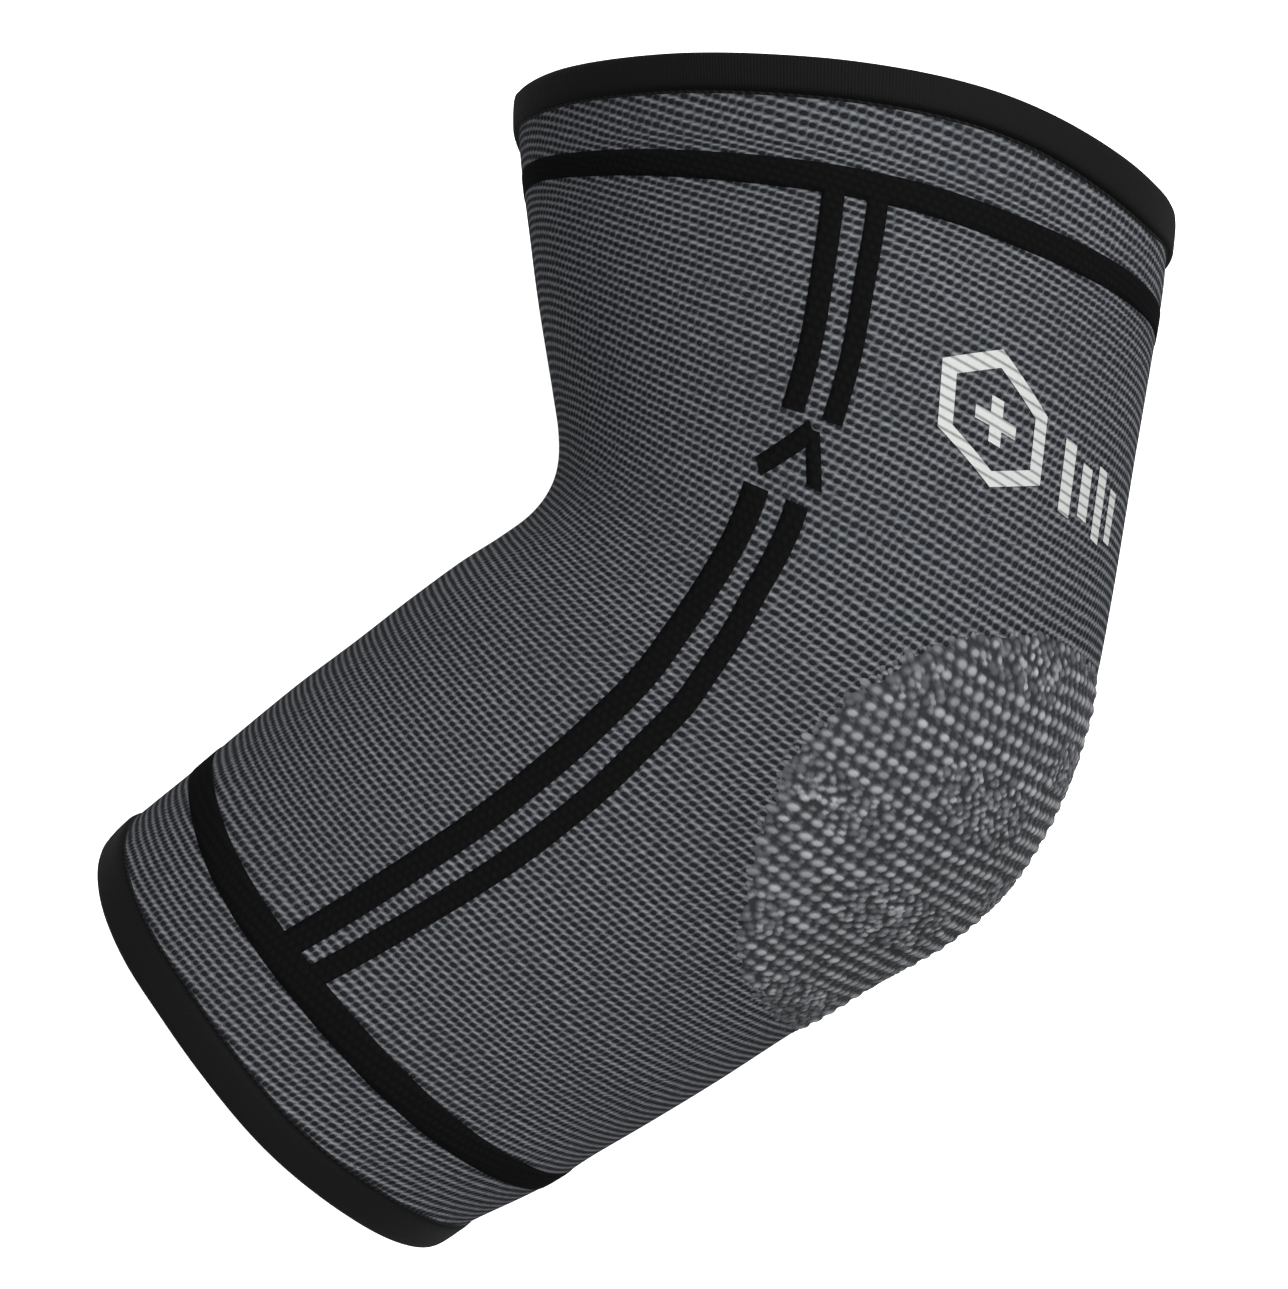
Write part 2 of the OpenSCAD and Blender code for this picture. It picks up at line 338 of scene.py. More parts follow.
def knit_lines(n, shift=0.0, slant=0.24):
    """(line 0..1, dark dot 0..1, u, v) of the mesh knit."""
    u, v = n.uv()
    wob = n.noise(n.vec(n.m("MULTIPLY", u, 0.21), n.m("MULTIPLY", v, 0.5)), 1.0, 1.0)
    v2 = n.m("ADD", v, n.m("MULTIPLY", n.m("SUBTRACT", wob, 0.5), 0.25))
    r = n.m("FLOOR", v2)
    uu = n.m("ADD", u, n.m("MULTIPLY", r, shift))
    drift = n.noise(n.vec(n.m("MULTIPLY", uu, 0.10), n.m("MULTIPLY", r, 0.37)), 1.0, 2.0)
    uu = n.m("ADD", uu, n.m("MULTIPLY", drift, 3.2))
    fu = n.m("FRACT", uu)
    fv = n.m("FRACT", v2)
    # a slanted strand between the rows of holes
    fv2 = n.m("FRACT", n.m("ADD", v2, n.m("MULTIPLY", n.m("SUBTRACT", fu, 0.5), slant)))
    line = n.step(n.m("MULTIPLY", n.m("ABSOLUTE", n.m("SUBTRACT", fv2, 0.5)), 2.0), 0.38, 0.98)
    # fades toward the strand's ends
    fade = n.m("ADD", 0.55, n.m("MULTIPLY", n.m("SINE", n.m("MULTIPLY", fu, math.pi)), 0.45))
    line = n.m("MULTIPLY", line, fade)
    du = n.m("DIVIDE", n.m("SUBTRACT", n.m("SUBTRACT", fu, 0.5), n.m("MULTIPLY", n.m("SUBTRACT", fv, 0.5), 0.35)), 0.50)
    dv = n.m("DIVIDE", n.m("SUBTRACT", n.m("SUBTRACT", fv, 0.5), n.m("MULTIPLY", n.m("SUBTRACT", fu, 0.5), -0.30)), 0.28)
    rr = n.m("ADD", n.m("MULTIPLY", du, du), n.m("MULTIPLY", dv, dv))
    dot = n.m("SUBTRACT", 1.0, n.step(rr, 0.25, 1.15))
    return line, dot, u, v


def grey_knit():
    n = Nodes("grey_knit", 0.92, 0.06)
    line, dot, u, v = knit_lines(n)
    broad = n.noise(n.vec(n.m("MULTIPLY", u, 0.05), n.m("MULTIPLY", v, 0.09)), 1.0, 2.0)
    fine = n.noise(n.vec(n.m("MULTIPLY", u, 0.9), n.m("MULTIPLY", v, 1.7)), 1.0, 2.0)
    k = n.m("ADD", 0.44, n.m("MULTIPLY", line, 0.33))
    k = n.m("SUBTRACT", k, n.m("MULTIPLY", dot, n.m("ADD", 0.10, n.m("MULTIPLY", broad, 0.32))))
    k = n.m("ADD", k, n.m("MULTIPLY", n.m("SUBTRACT", fine, 0.5), 0.42))
    k = n.m("ADD", k, n.m("MULTIPLY", n.m("SUBTRACT", broad, 0.5), 0.12), clamp=True)
    n.color(n.ramp(k, [(0.0, (0.006, 0.007, 0.008)), (0.26, (0.014, 0.0155, 0.018)), (0.5, (0.062, 0.066, 0.074)), (0.75, (0.16, 0.166, 0.178)), (1.0, (0.27, 0.278, 0.292))]))
    h = n.m("SUBTRACT", n.m("MULTIPLY", line, 0.7), n.m("MULTIPLY", dot, 0.7))
    n.bump(h, 0.00045, 0.8)
    return n.mat


def inner_knit():
    n = Nodes("inner_knit", 0.95, 0.1)
    u, v = n.uv()
    w = n.m("ADD", n.m("MULTIPLY", n.m("SINE", n.m("MULTIPLY", u, 2 * math.pi)), 0.5), n.m("MULTIPLY", n.m("SINE", n.m("MULTIPLY", v, 2 * math.pi)), 0.5))
    fine = n.noise(n.vec(n.m("MULTIPLY", u, 1.3), n.m("MULTIPLY", v, 1.3)), 1.0, 2.0)
    k = n.m("ADD", n.m("ADD", 0.35, n.m("MULTIPLY", w, 0.18)), n.m("MULTIPLY", fine, 0.3), clamp=True)
    n.color(n.ramp(k, [(0.0, (0.012, 0.013, 0.015)), (1.0, (0.09, 0.094, 0.1))]))
    n.bump(w, 0.0003, 0.6)
    return n.mat


def black_knit():
    n = Nodes("black_knit", 0.9, 0.02)
    u, v = n.uv()
    r = n.m("FLOOR", v)
    fu = n.m("FRACT", n.m("ADD", u, n.m("MULTIPLY", r, 0.5)))
    fv = n.m("FRACT", v)
    w = n.m("MULTIPLY", n.m("SINE", n.m("MULTIPLY", fu, math.pi)), n.m("SINE", n.m("MULTIPLY", fv, math.pi)))
    fine = n.noise(n.vec(u, v), 1.7, 2.0)
    k = n.m("ADD", n.m("MULTIPLY", w, 0.5), n.m("MULTIPLY", fine, 0.4), clamp=True)
    n.color(n.ramp(k, [(0.0, (0.0028, 0.0028, 0.0030)), (1.0, (0.0060, 0.0061, 0.0065))]))
    n.bump(w, 0.00012, 0.5)
    return n.mat


def cuff_fabric():
    n = Nodes("cuff_fabric", 0.72, 0.07)
    u, v = n.uv()
    rib = n.m("SINE", n.m("MULTIPLY", u, 2 * math.pi * 3.0))
    rows = n.m("SINE", n.m("MULTIPLY", v, 2 * math.pi * 3.4))
    fine = n.noise(n.vec(n.m("MULTIPLY", u, 2.0), n.m("MULTIPLY", v, 2.0)), 1.0, 3.0)
    w = n.m("ADD", n.m("MULTIPLY", rib, 0.5), n.m("MULTIPLY", rows, 0.35))
    k = n.m("ADD", 0.3, n.m("ADD", n.m("MULTIPLY", w, 0.1), n.m("MULTIPLY", fine, 0.4)), clamp=True)
    n.color(n.ramp(k, [(0.0, (0.0024, 0.0024, 0.0025)), (1.0, (0.0072, 0.0074, 0.0075))]))
    n.bump(w, 0.00010, 0.5).sheen(0.015, 0.35)
    n.rough(n.m("ADD", 0.62, n.m("MULTIPLY", fine, 0.2)))
    return n.mat


def thread():
    n = Nodes("seam_thread", 0.8, 0.15)
    u, v = n.uv()
    w = n.m("SINE", n.m("MULTIPLY", n.m("ADD", u, n.m("MULTIPLY", v, 0.25)), 2 * math.pi))
    n.color(n.ramp(n.m("ADD", 0.5, n.m("MULTIPLY", w, 0.5)), [(0.0, (0.002, 0.002, 0.002)), (1.0, (0.009, 0.009, 0.0095))]))
    n.bump(w, 0.0002, 0.6)
    return n.mat


def silicone():
    n = Nodes("grip_silicone", 0.42, 0.5)
    u, v = n.uv()
    w = n.m("MULTIPLY", n.m("SINE", n.m("MULTIPLY", u, math.pi)), n.m("SINE", n.m("MULTIPLY", v, 2 * math.pi)))
    f = n.noise(n.vec(u, v), 0.8, 2.8)
    n.color(n.ramp(f, [(0.3, (0.022, 0.023, 0.025)), (0.8, (0.045, 0.047, 0.05))]))
    n.bump(w, 0.0004, 0.7)
    return n.mat


def pearl():
    n = Nodes("pearl_yarn", 0.8, 0.2)
    t = n.tone()
    f = n.noise(n.obj(), 900.0, 2.0)
    # the tone attribute is each loop's own tone plus painted shade: near black at the loops' rims and in the gaps
    # between them
    k = n.m("ADD", n.m("MULTIPLY", t, 0.94), n.m("MULTIPLY", f, 0.12), clamp=True)
    n.color(n.ramp(k, [(0.0, (0.006, 0.0065, 0.0075)), (0.45, (0.075, 0.078, 0.085)), (1.0, (0.36, 0.368, 0.38))]))
    n.bump(f, 0.0002, 0.6)
    return n.mat


def pearl_ground():
    n = Nodes("pearl_ground", 0.95, 0.1)
    u, v = n.uv()
    f = n.noise(n.vec(n.m("MULTIPLY", u, 1.4), n.m("MULTIPLY", v, 1.9)), 1.0, 3.0)
    n.color(n.ramp(f, [(0.25, (0.010, 0.011, 0.012)), (0.55, (0.034, 0.036, 0.040)), (0.8, (0.10, 0.104, 0.110))]))
    n.bump(f, 0.0006, 0.9)
    return n.mat


def print_film():
    n = Nodes("print_film", 0.6, 0.3)
    u, v = n.uv()
    fv = n.m("FRACT", v)
    groove = n.step(n.m("MULTIPLY", n.m("ABSOLUTE", n.m("SUBTRACT", fv, 0.5)), 2.0), 0.02, 0.5)
    f = n.noise(n.vec(n.m("MULTIPLY", u, 2.0), n.m("MULTIPLY", v, 2.0)), 1.0, 2.0)
    k = n.m("ADD", n.m("MULTIPLY", groove, 0.75), n.m("MULTIPLY", f, 0.3), clamp=True)
    n.color(n.ramp(k, [(0.0, (0.10, 0.105, 0.11)), (0.45, (0.31, 0.315, 0.31)), (1.0, (0.46, 0.465, 0.455))]))
    n.bump(groove, 0.0002, 0.5)
    return n.mat


M_GREY, M_IN, M_BLACK, M_CUFF = grey_knit(), inner_knit(), black_knit(), cuff_fabric()
M_THREAD, M_GRIP, M_PEARL, M_GROUND, M_PRINT = thread(), silicone(), pearl(), pearl_ground(), print_film()


def bend_piece(ob):
    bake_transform(ob)
    return ob


# ---------------------------------------------------------------- knit tube
T = 1.8
NC, NP = 230, 256
cs = np.linspace(C_TOP, C_BOT, NC)
ph = np.linspace(-math.pi / 2, 1.5 * math.pi, NP + 1)  # the seam runs down the crook
cc, pp = np.meshgrid(cs, ph, indexing="ij")
uvk = kuv(along(cc, pp), pp)
knit = Mesh()
knit.grid(row(at(cc, pp)), uvk, 0)
ci, pi_ = np.meshgrid(np.linspace(C_TOP, C_BOT, 116), np.linspace(-math.pi / 2, 1.5 * math.pi, 129), indexing="ij")
uvi = kuv(along(ci, pi_), pi_)
knit.grid(row(at(ci, pi_, -T)), uvi, 1, flip=True)
knit_ob = knit.build("knit_tube", [M_GREY, M_IN])


# ---------------------------------------------------------------- stripes
def strip(name, parts, mat, half):
    """parts: list of (courses, centre angles in degrees, half width in mm), laid just proud of the knit, edges tucked in."""
    me = Mesh()
    for kind, a, b, c in parts:
        if kind == "long":  # along the arm: a courses, b angle, c half width in mm
            q = np.asarray(a, float)[:, None]
            rad = ring(q[:, 0])[2][:, None]
            x = np.array([-1.0, -1.0, -0.5, 0, 0.5, 1.0, 1.0])[None, :]
            off = np.array([-0.5, 0.13, 0.16, 0.16, 0.16, 0.13, -0.5])[None, :]
            wob = 0.0
            p = np.radians(np.asarray(b, float))[:, None] + (x * c + wob) / rad
            me.grid(row(at(q, p, off)), kuv(along(q + 0 * p, p), p), 0)
        else:  # round the arm: a angles, b course, c half width in courses
            p = np.asarray(a, float)[None, :]
            x = np.array([-1.0, -1.0, -0.5, 0, 0.5, 1.0, 1.0])[:, None]
            off = np.array([-0.5, 0.13, 0.16, 0.16, 0.16, 0.13, -0.5])[:, None]
            q = spl(fold(p), b[0], b[1]) + x * c
            me.grid(row(surf(q, p + 0 * q, off)), kuv(q, p + 0 * q), 0)
    return bend_piece(me.build(name, [mat]))


full = np.linspace(-math.pi / 2, 1.5 * math.pi, 361)
ring_top = strip("top_ring_knit", [("round", full, ([-90, -74, -50, -24, 0, 12, 30, 58, 90], [2.22, 2.43, 2.74, 2.85, 2.80, 2.77, 2.75, 2.61, 2.40]), 0.187)], M_BLACK, 0)
ring_bot = strip("bottom_ring_knit", [("round", full, ([-90, -54, -29, 6, 38, 62, 90], [16.66, 16.78, 16.95, 17.03, 17.03, 16.94, 16.86]), 0.22)], M_BLACK, 0)

US = np.linspace(2.12, 5.62, 40)
UL = spl(US, [2.2, 2.6, 3.5, 4.5, 5.7], [-3.2, -3.5, -4.6, -6.2, -9.3])
UR = spl(US, [2.2, 2.6, 3.5, 4.5, 5.7], [3.8, 3.5, 2.2, 0.6, -2.4])
LS = np.linspace(7.17, 16.93, 110)
LX = [7.2, 8.2, 9.0, 9.83, 10.52, 11.18, 11.82, 12.5, 13.25, 14.15, 15.32, 17.0]
LL = spl(LS, LX, [-14.6, -16.0, -16.5, -16.0, -14.6, -12.4, -10.1, -8.3, -7.2, -6.7, -7.0, -9.0])
LR = spl(LS, [7.2, 8.2, 9.02, 9.85, 10.62, 11.38, 12.08, 12.82, 13.68, 14.68, 16.0, 17.0], [-7.0, -8.5, -9.0, -8.0, -6.2, -3.4, -1.1, 0.8, 1.7, 1.7, 0.2, -1.5])


def mirror(a):
    return 180.0 - np.asarray(a, float)


for side, fn in (("lateral", lambda a: a), ("medial", mirror)):
    strip(side + "_upper_stripes_knit", [("long", US, fn(UL), 1.66), ("long", US, fn(UR), 1.5)], M_BLACK, 0)
    strip(side + "_lower_stripes_knit", [("long", LS, fn(LL), 1.98), ("long", LS, fn(LR), 1.7)], M_BLACK, 0)


def chevron(name, fn):
    """Two short legs from an apex."""
    me = Mesh()
    apex, left, right = (5.84, -5.5), (6.80, -14.6), (6.80, -4.4)
    for foot in (left, right):
        s = np.linspace(0, 1, 16)[:, None]
        c0 = apex[0] + (foot[0] - apex[0]) * s
        a0 = apex[1] + (foot[1] - apex[1]) * s
        x = np.array([-1.0, -1.0, 0, 1.0, 1.0])[None, :]
        off = np.array([-0.5, 0.14, 0.18, 0.14, -0.5])[None, :]
        # across the leg: mostly round the arm for the steep leg, mostly along it for the flat one
        wc, wa = (0.155, 0.62) if foot is left else (0.0, 1.35)
        q = c0 + x * wc
        p = np.radians(fn(a0 + x * wa))
        me.grid(row(at(q, p, off)), kuv(along(q, p), p + 0 * q), 0)
    return bend_piece(me.build(name, [M_BLACK]))


chev = {"lateral": chevron("lateral_chevron_knit", lambda a: a), "medial": chevron("medial_chevron_knit", mirror)}

# ---------------------------------------------------------------- pearl-knit pad
PT = [6.9, 7.15, 7.75, 8.45, 9.55, 10.7, 11.55, 12.15, 12.65, 12.92, 13.1]
PA = [60.0, 42.0, 25.0, 16.0, 10.5, 11.0, 18.0, 26.5, 34.5, 43.0, 56.0]


def pad_edge(c):
    """Angle from the lateral side where the pad begins at ring c, in degrees."""
    return np.interp(c, PT, PA, left=90, right=90)


def in_pad(c, deg):
    """Signed depth inside the pad, about in millimetres."""
    d = 90 - np.abs(np.asarray(deg, float) - 90)
    c = np.asarray(c, float)
    e = pad_edge(c)
    side = (d - e) * 0.85
    ends = np.minimum((c - 6.85) * 9.0, (13.15 - c) * 9.0)
    return np.minimum(side, ends)


pad = Mesh()
pc = np.linspace(6.85, 13.15, 64)
pa = np.linspace(9, 171, 100)
c2, a2 = np.meshgrid(pc, pa, indexing="ij")
depth = in_pad(c2, a2)
lift = 0.40 * smooth(depth, -0.5, 5.0)
mask = depth > -2.5
P_out = row(surf(c2, np.radians(a2), np.where(depth > 3.0, -0.40 + lift, -0.50)))
P_in = row(surf(c2, np.radians(a2), -0.7))
uvp = kuv(c2, np.radians(a2))
base_v = np.concatenate([P_out.reshape(-1, 3), P_in.reshape(-1, 3)])
nv = P_out.shape[0] * P_out.shape[1]
idx = np.arange(nv).reshape(P_out.shape[:2])
cell = mask[:-1, :-1] & mask[1:, :-1] & mask[:-1, 1:] & mask[1:, 1:]
faces, ii = [], np.argwhere(cell)
cellset = cell
for i, j in ii:
    faces.append((idx[i, j], idx[i, j + 1], idx[i + 1, j + 1], idx[i + 1, j]))
    faces.append((idx[i + 1, j] + nv, idx[i + 1, j + 1] + nv, idx[i, j + 1] + nv, idx[i, j] + nv))
    for di, dj, e0, e1 in ((-1, 0, (i, j), (i, j + 1)), (1, 0, (i + 1, j + 1), (i + 1, j)), (0, -1, (i + 1, j), (i, j)), (0, 1, (i, j + 1), (i + 1, j + 1))):
        a_, b_ = i + di, j + dj
        if not (0 <= a_ < cell.shape[0] and 0 <= b_ < cell.shape[1] and cellset[a_, b_]):
            faces.append((idx[e1], idx[e0], idx[e0] + nv, idx[e1] + nv))
used = np.unique(np.array([k for f in faces for k in f]))
remap = -np.ones(len(base_v), int)
remap[used] = np.arange(len(used))
uv_all = np.concatenate([uvp.reshape(-1, 2)] * 2)
PV, PF, PUV, PM, PTONE = [base_v[used]], [tuple(remap[list(f)]) for f in faces], [uv_all[used]], [0] * len(faces), [np.full(len(used), 0.3)]
count = len(used)

# pearls in rows along the courses, each row shifted by a third, knitted as one sheet over the base
ROW, STEP_DEG, SUB = 1.66, 2.42, 7
v_lo, v_hi = float(kv(6.4, math.radians(60))), float(kv(13.6, math.radians(60)))
n_row, n_col = int((v_hi - v_lo) / ROW) + 1, int(166 / STEP_DEG) + 1
gr = np.arange(-SUB, (n_row + 1) * SUB + 1) / SUB
gk = np.arange(-SUB, (n_col + 1) * SUB + 1) / SUB
tg = np.linspace(6.0, 14.0, 160)
g_deg = 7 + STEP_DEG * gk
G_C = np.stack([np.interp(v_lo + ROW * gr, kv(tg, math.radians(d)), tg) for d in g_deg], 1)
G_D = np.broadcast_to(g_deg[None, :], G_C.shape)
# sheet colour starts near black everywhere: painted shade in the gaps between loops
high, tone_and_painted_shade = np.zeros(G_C.shape), np.full(G_C.shape, 0.02)
MM_K, MM_R = 2.1, 2.3


def blob(r, k, ra, rb, rc, turn, tone):
    """Raise one loop of yarn at row r, column k; sizes in millimetres."""
    rad = max(ra, rb)
    r0, r1 = np.searchsorted(gr, [r - rad / MM_R, r + rad / MM_R])
    k0, k1 = np.searchsorted(gk, [k - rad / MM_K, k + rad / MM_K])
    if r1 <= r0 or k1 <= k0:
        return
    dy, dx = np.meshgrid((gr[r0:r1] - r) * MM_R, (gk[k0:k1] - k) * MM_K, indexing="ij")
    x, y = dx * math.cos(turn) + dy * math.sin(turn), dy * math.cos(turn) - dx * math.sin(turn)
    f = np.clip(1 - (x / ra) ** 2 - (y / rb) ** 2, 0, 1) ** 0.7
    h = rc * f
    win = high[r0:r1, k0:k1]
    top = h > win
    high[r0:r1, k0:k1] = np.where(top, h, win)
    # a loop's colour is its own tone at the crown, fading to near black toward its rim: painted shade
    tone_and_painted_shade[r0:r1, k0:k1] = np.where(top, np.clip(0.02 + (tone - 0.02) * np.minimum(1, f * 1.2), 0, 1), tone_and_painted_shade[r0:r1, k0:k1])


for r in range(n_row):
    for k in range(n_col):
        kc = k + (r % 3) / 3.0
        deg = 7 + STEP_DEG * kc
        c = float(np.interp(v_lo + ROW * r, kv(tg, math.radians(deg)), tg))
        d = float(in_pad(c, deg)) + rng.normal(0, 0.7)
        if d < -0.3 or not 6.3 < c < 13.7:
            continue
        kk = kc - r / 3.0
        w = math.cos(2 * math.pi * (kk / 24.0 + r / 9.0)) + math.cos(2 * math.pi * (kk / 24.0 - r / 9.0))
        edge = float(smooth(d, -0.3, 5.0))
        dim = 0.62 + 0.38 * edge
        if w < 0.45 and d > 1.5:
            size = 1.0 + rng.normal(0, 0.07)
            blob(r + rng.normal(0, 0.03), kc + rng.normal(0, 0.04), 1.10 * size, 0.80 * size, 0.44 * size, -0.25 + rng.normal(0, 0.12), (0.68 + rng.normal(0, 0.08)) * dim)
            blob(r + 0.46 + rng.normal(0, 0.03), kc + 0.3 + rng.normal(0, 0.08), 0.55 * size, 0.38 * size, 0.20, rng.normal(0, 0.4), (0.34 + rng.normal(0, 0.07)) * dim)
        else:
            for q in range(3):
                size = 0.70 + rng.normal(0, 0.08)
                blob(r + (0.0, 0.3, -0.3)[q] + rng.normal(0, 0.13), kc + (-0.25, 0.2, 0.25)[q] + rng.normal(0, 0.14), 1.1 * size, 0.85 * size, 0.52 * size, rng.uniform(-0.9, 0.9), (0.57 + rng.normal(0, 0.12)) * dim)
depth = in_pad(G_C, G_D)
rise = -0.32 + 0.62 * smooth(depth, 0.0, 5.0)
S_out = row(surf(G_C, np.radians(G_D), np.where(depth > -0.2, rise + high * (0.75 + 0.25 * smooth(depth, 0.0, 4.0)), -0.45)))
S_uv = kuv(G_C, np.radians(G_D))
keep = (depth > -1.6) & (G_C > 6.3) & (G_C < 13.7)
quad = keep[:-1, :-1] & keep[1:, :-1] & keep[:-1, 1:] & keep[1:, 1:]
gi = np.arange(G_C.size).reshape(G_C.shape)
qi = np.argwhere(quad)
sheet = np.stack([gi[qi[:, 0], qi[:, 1]], gi[qi[:, 0], qi[:, 1] + 1], gi[qi[:, 0] + 1, qi[:, 1] + 1], gi[qi[:, 0] + 1, qi[:, 1]]], 1)
su = np.unique(sheet)
back = -np.ones(G_C.size, int)
back[su] = np.arange(len(su)) + count
PV.append(S_out.reshape(-1, 3)[su])
PF.extend(map(tuple, back[sheet].tolist()))
PUV.append(S_uv.reshape(-1, 2)[su])
PM.extend([1] * len(sheet))
PTONE.append(tone_and_painted_shade.reshape(-1)[su])
pad_ob = mesh_object("pearl_pad", np.concatenate(PV), PF, np.concatenate(PUV), [M_GROUND, M_PEARL], PM, np.concatenate(PTONE))


# ---------------------------------------------------------------- cuffs, seams and grips
def sweep(name, profile, cuff_c, outward, mat, n=300, uscale=1.0, thin=0.0, thin_in=0.0, tall=0.0):
    """profile: closed list of (distance from the rim toward the elbow in mm, offset from the knit's outside in mm)."""
    p = np.linspace(0, 2 * math.pi, n, endpoint=False)
    pts = []
    # distance along the surface from the rim, for every angle
    hoops = cuff_c + outward * np.linspace(-0.3, 1.7, 201)
    track = at(hoops[:, None], p[None, :])
    far = np.concatenate([np.zeros((1, len(p))), np.cumsum(np.linalg.norm(np.diff(track, axis=0), axis=-1), 0)])
    far = far - far[30]
    for d, off in profile:
        want = d * (1 + tall * np.exp(-((fold(p) - 58) / 24.0) ** 2))
        q = np.array([np.interp(want[j], far[:, j], hoops) for j in range(len(p))])
        pts.append(row(surf(along(q, p), p, off * (1 - thin * np.clip(np.sin(p), 0, 1) ** 4 - thin_in * np.clip(-np.sin(p), 0, 1) ** 4) if off > 0 else off)))
    P = np.array(pts).transpose(1, 0, 2)  # n x profile x 3
    P = np.concatenate([P, P[:1]], 0)
    P = np.concatenate([P, P[:, :1]], 1)
    s = np.concatenate([[0], np.cumsum([math.hypot(profile[(i + 1) % len(profile)][0] - profile[i][0], profile[(i + 1) % len(profile)][1] - profile[i][1]) for i in range(len(profile))])])
    uu = np.linspace(0, WALES, P.shape[0])[:, None] * uscale
    me = Mesh()
    me.grid(P, np.stack(np.broadcast_arrays(uu, s[None, :]), -1), 0, flip=outward > 0)
    ob = me.build(name, [mat])
    return ob


def cuff_profile(h, t, inner):
    """Rounded band outside the knit, folded over the rim and down inside."""
    out = [(h + 0.05, -0.25), (h + 0.05, t * 0.35), (h - 0.12, t * 0.75), (h - 0.5, t * 0.96), (h * 0.75, t * 1.0), (h * 0.5, t * 1.03), (h * 0.25, t * 1.0)]
    fold = [(0.6, t * 0.9), (0.15, t * 0.6), (-0.12, t * 0.05), (-0.15, -T * 0.5), (-0.05, -T - 0.1), (0.35, -T - 0.45)]
    back = [(h * 0.4, -T - 0.6), (inner - 0.3, -T - 0.55), (inner, -T - 0.3), (inner, -T + 0.3), (h * 0.6, -T + 0.5)]
    return out + fold + back


top_cuff = sweep("top_cuff_band", cuff_profile(5.1, 1.15, 6.0), 0.0, 1, M_CUFF, uscale=1.0, tall=0.3)
bot_cuff = sweep("bottom_cuff_band", cuff_profile(5.2, 1.1, 6.2), 19.0, -1, M_CUFF, uscale=0.8, thin=0.68, thin_in=0.5, tall=0.12)


def ring_bead(name, d, off, r, cuff_c, outward, mat, tall=0.0):
    prof = [(d + r * math.cos(a), off + r * math.sin(a) * 0.8) for a in np.linspace(0, 2 * math.pi, 9)[:-1]]
    return sweep(name, prof, cuff_c, outward, mat, tall=tall)


top_seam = ring_bead("top_overlock", 5.33, 0.0, 0.27, 0.0, 1, M_THREAD, tall=0.3)
bot_seam = ring_bead("bottom_overlock", 5.44, 0.0, 0.27, 19.0, -1, M_THREAD, tall=0.12)


def grip(name, s0, w, thick, a, t_lo, t_hi, mat):
    """A band inside the knit, square to the tube's axis; s0 is its distance from the hinge, a the axis's turn from +Y."""
    p = np.linspace(0, 2 * math.pi, 241)
    tt = np.linspace(t_lo, t_hi, 120)
    T2, P2 = np.meshgrid(tt, p, indexing="ij")
    S2 = surf(T2, P2, -T)
    ax = S2[..., 0] * -math.sin(a) + S2[..., 1] * math.cos(a)
    prof = [(i / 8 * w, -T - thick + 0.12 * (1 - math.cos(2 * math.pi * i / 8 * 3))) for i in range(9)] + [(w, -T - 0.03), (0, -T - 0.03)]
    prof.append(prof[0])
    pts = []
    for q, off in prof:
        t = np.array([np.interp(s0 + q, *(ax[:, j][::-1], tt[::-1]) if ax[0, j] > ax[-1, j] else (ax[:, j], tt)) for j in range(len(p))])
        pts.append(row(surf(t, p, off)))
    P = np.array(pts).transpose(1, 0, 2)
    me = Mesh()
    me.grid(P, np.stack(np.broadcast_arrays(np.linspace(0, 60, 241)[:, None], np.arange(len(prof))[None, :] * 0.33), -1), 0, flip=True)
    return me.build(name, [mat])


top_grip = grip("top_grip_silicone", 60.0, 8.0, 0.6, 0.0, 0.0, 8.0, M_GRIP)
bot_grip = grip("bottom_grip_silicone", 89.0, 8.0, 0.6, math.radians(127.2), 11.0, 19.0, M_GRIP)

# ---------------------------------------------------------------- generic printed mark
mark = Mesh()


def patch(poly, nx=10, ny=6):
    """A quad (mm: round the arm, along it) laid on the knit."""
    a, b, c, d = [np.array(q, float) for q in poly]
    s, t = np.meshgrid(np.linspace(0, 1, nx), np.linspace(0, 1, ny), indexing="ij")
    s, t = s[..., None], t[..., None]
    q = a * (1 - s) * (1 - t) + b * s * (1 - t) + c * s * t + d * (1 - s) * t
    c0 = 4.75
    p = math.radians(34) + q[..., 0] / 50.0
    cr = c0 - q[..., 1] / 11.6 + (p - math.radians(34)) * 0.35
    mark.grid(row(at(cr, p, 0.15)), kuv(along(cr, p), p), 0)


hexo = [(10.8 * math.cos(math.radians(60 * i + 30)) - 6.5, 10.8 * math.sin(math.radians(60 * i + 30))) for i in range(6)]
hexi = [(8.1 * math.cos(math.radians(60 * i + 30)) - 6.5, 8.1 * math.sin(math.radians(60 * i + 30))) for i in range(6)]
for i in range(6):
    j = (i + 1) % 6
    patch([hexo[i], hexo[j], hexi[j], hexi[i]])
patch([(-10.1, -1.05), (-2.9, -1.05), (-2.9, 1.05), (-10.1, 1.05)])
patch([(-7.55, 1.05), (-5.45, 1.05), (-5.45, 3.6), (-7.55, 3.6)], 4, 6)
patch([(-7.55, -3.6), (-5.45, -3.6), (-5.45, -1.05), (-7.55, -1.05)], 4, 6)
for i in range(4):
    x = 7.4 + i * 5.0
    y = (i % 2) * 1.6
    patch([(x, -7.2 + y), (x + 2.8, -7.2 + y), (x + 2.8, 4.6 - y), (x, 4.6 - y)], 4, 10)
mark_ob = mark.build("printed_mark", [M_PRINT])

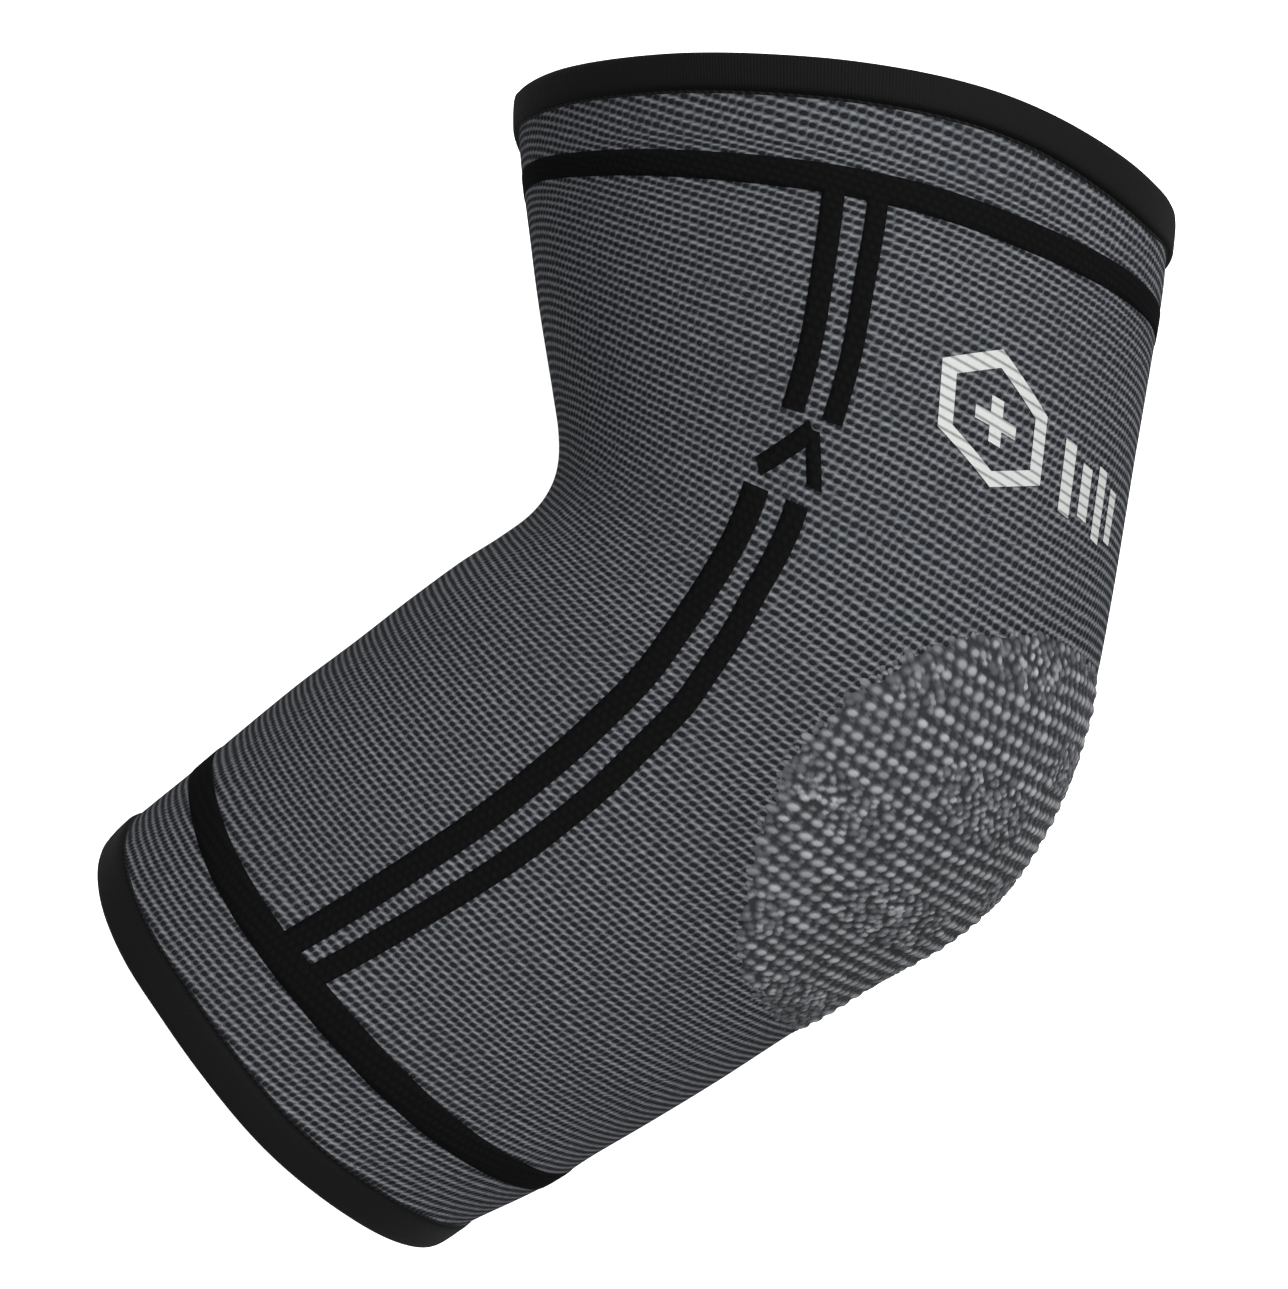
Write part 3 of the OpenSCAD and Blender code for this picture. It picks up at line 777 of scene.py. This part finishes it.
# ---------------------------------------------------------------- which piece stands for which node, and what it rides on
bend_piece(knit_ob)
bend_piece(pad_ob)
bend_piece(mark_ob)
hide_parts("upper_sleeve", "elbow_sleeve", "forearm_sleeve")
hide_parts("top_ring_stripe")
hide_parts("bottom_ring_stripe")
for side in ("lateral", "medial"):
    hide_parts(side + "_upper_stripes")
    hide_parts(side + "_elbow_stripes", side + "_forearm_stripes")
    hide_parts(side + "_chevron")
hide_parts("elbow_pad")
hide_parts("emblem")
for ob, node_, body in ((top_cuff, "top_cuff", "upper_arm"), (top_seam, "top_cuff_seam", "upper_arm"), (top_grip, "top_grip_band", "upper_arm"),
                        (bot_cuff, "bottom_cuff", "forearm"), (bot_seam, "bottom_cuff_seam", "forearm"), (bot_grip, "bottom_grip_band", "forearm")):
    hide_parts(node_)
    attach(ob, body)

# ---------------------------------------------------------------- floor, light, camera
fm = Nodes("floor_paint", 0.9, 0.1)
fn_ = fm.noise(fm.obj(), 3.0, 2.0)
fm.color(fm.ramp(fn_, [(0.0, (0.90, 0.90, 0.90)), (1.0, (0.93, 0.93, 0.93))]))
fl = bpy.data.meshes.new("floor")
fl.from_pydata([(-4, -4, 0), (4, -4, 0), (4, 4, 0), (-4, 4, 0)], [], [(0, 1, 2, 3)])
fm.p.inputs["Emission Color"].default_value = (1, 1, 1, 1)
fm.p.inputs["Emission Strength"].default_value = 0.85
fl.materials.append(fm.mat)
floor = bpy.data.objects.new("floor", fl)
bpy.context.scene.collection.objects.link(floor)
floor.location.z = min(CAD_BOX[0][2], float(np.min(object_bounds()[0][2]))) - 0.0002
floor.visible_diffuse = False
floor.visible_glossy = False


def area(name, loc, target, size, power, col=(1, 1, 1)):
    d = bpy.data.lights.new(name, "AREA")
    d.size = size
    d.energy = power
    d.color = col
    o = bpy.data.objects.new(name, d)
    bpy.context.scene.collection.objects.link(o)
    z = np.array(loc, float) - np.array(target, float)
    z /= np.linalg.norm(z)
    x = np.cross([0, 1, 0.01], z)
    x /= np.linalg.norm(x)
    y = np.cross(z, x)
    o.matrix_world = Matrix([[x[0], y[0], z[0], loc[0]], [x[1], y[1], z[1], loc[1]], [x[2], y[2], z[2], loc[2]], [0, 0, 0, 1]])
    return o


area("key", (0.55, 0.35, 1.15), (0, 0, 0.05), 0.7, 19.8)
area("fill", (-0.9, -0.5, 0.9), (0, 0, 0.05), 1.2, 4.0)
area("low", (0.2, -1.2, 0.5), (0, 0, 0.05), 0.8, 2.0)
world = bpy.data.worlds.new("world")
world.use_nodes = True
world.node_tree.nodes["Background"].inputs[0].default_value = (1, 1, 1, 1)
world.node_tree.nodes["Background"].inputs[1].default_value = 0.42
bpy.context.scene.world = world

cam_d = bpy.data.cameras.new("camera")
cam_d.sensor_fit = "HORIZONTAL"
cam_d.sensor_width = 36.0
cam_d.lens = 50.73
cam_d.clip_start = 0.01
cam = bpy.data.objects.new("camera", cam_d)
bpy.context.scene.collection.objects.link(cam)
R = [(0.99876566, 0.04952139, 0.00384671), (-0.04950900, 0.98628562, 0.15744693), (0.00400303, -0.15744304, 0.98751996)]
L = (0.00191208, -0.04355452, 0.34342099)
cam.matrix_world = Matrix([[R[0][i], R[1][i], R[2][i], L[i]] for i in range(3)] + [[0, 0, 0, 1]])
bpy.context.scene.camera = cam
bpy.context.scene.view_settings.view_transform = "Standard"
